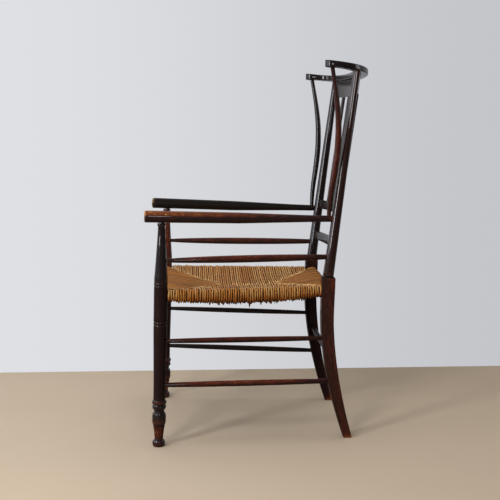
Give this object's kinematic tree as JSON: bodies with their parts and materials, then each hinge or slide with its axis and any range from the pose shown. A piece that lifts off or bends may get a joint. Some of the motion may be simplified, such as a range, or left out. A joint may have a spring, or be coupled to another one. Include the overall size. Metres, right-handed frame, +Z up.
{
  "type": "wing armchair with rush seat",
  "caption": "Turned-wood armchair with raked posts, a slatted back, a horseshoe crest on curved wing spindles and a dished woven rush seat.",
  "frame": {"origin": "on the floor, below the middle of the bounding box", "axes": "+Z up; the chair faces -Y; +X is the left side of someone sitting in it"},
  "size_m": [0.5842, 0.6621, 1.0994],
  "materials": {
    "dark_wood": "dark stained and polished, worn red-brown at the edges",
    "plain_wood": "plain rails hidden in the rush",
    "rush": "matte woven rush"
  },
  "bodies": {
    "root": {"front_leg_left": "dark_wood", "back_post_left": "dark_wood", "arm_left": "dark_wood", "arm_spindle_left": "dark_wood", "upper_side_stretcher_left": "dark_wood", "lower_side_stretcher_left": "dark_wood", "wing_spindle_left": "dark_wood", "front_leg_right": "dark_wood", "back_post_right": "dark_wood", "arm_right": "dark_wood", "arm_spindle_right": "dark_wood", "upper_side_stretcher_right": "dark_wood", "lower_side_stretcher_right": "dark_wood", "wing_spindle_right": "dark_wood", "front_stretcher": "dark_wood", "back_stretcher": "dark_wood", "back_rail_lower": "dark_wood", "back_rail_upper": "dark_wood", "back_rail_top": "dark_wood", "crest_rail": "dark_wood", "seat_rail_front": "plain_wood", "seat_rail_back": "plain_wood", "seat_rail_left": "plain_wood", "seat_rail_right": "plain_wood", "slat_1": "dark_wood", "slat_2": "dark_wood", "slat_3": "dark_wood", "slat_4": "dark_wood", "slat_5": "dark_wood", "rush_seat": "rush"}
  },
  "joints": []
}
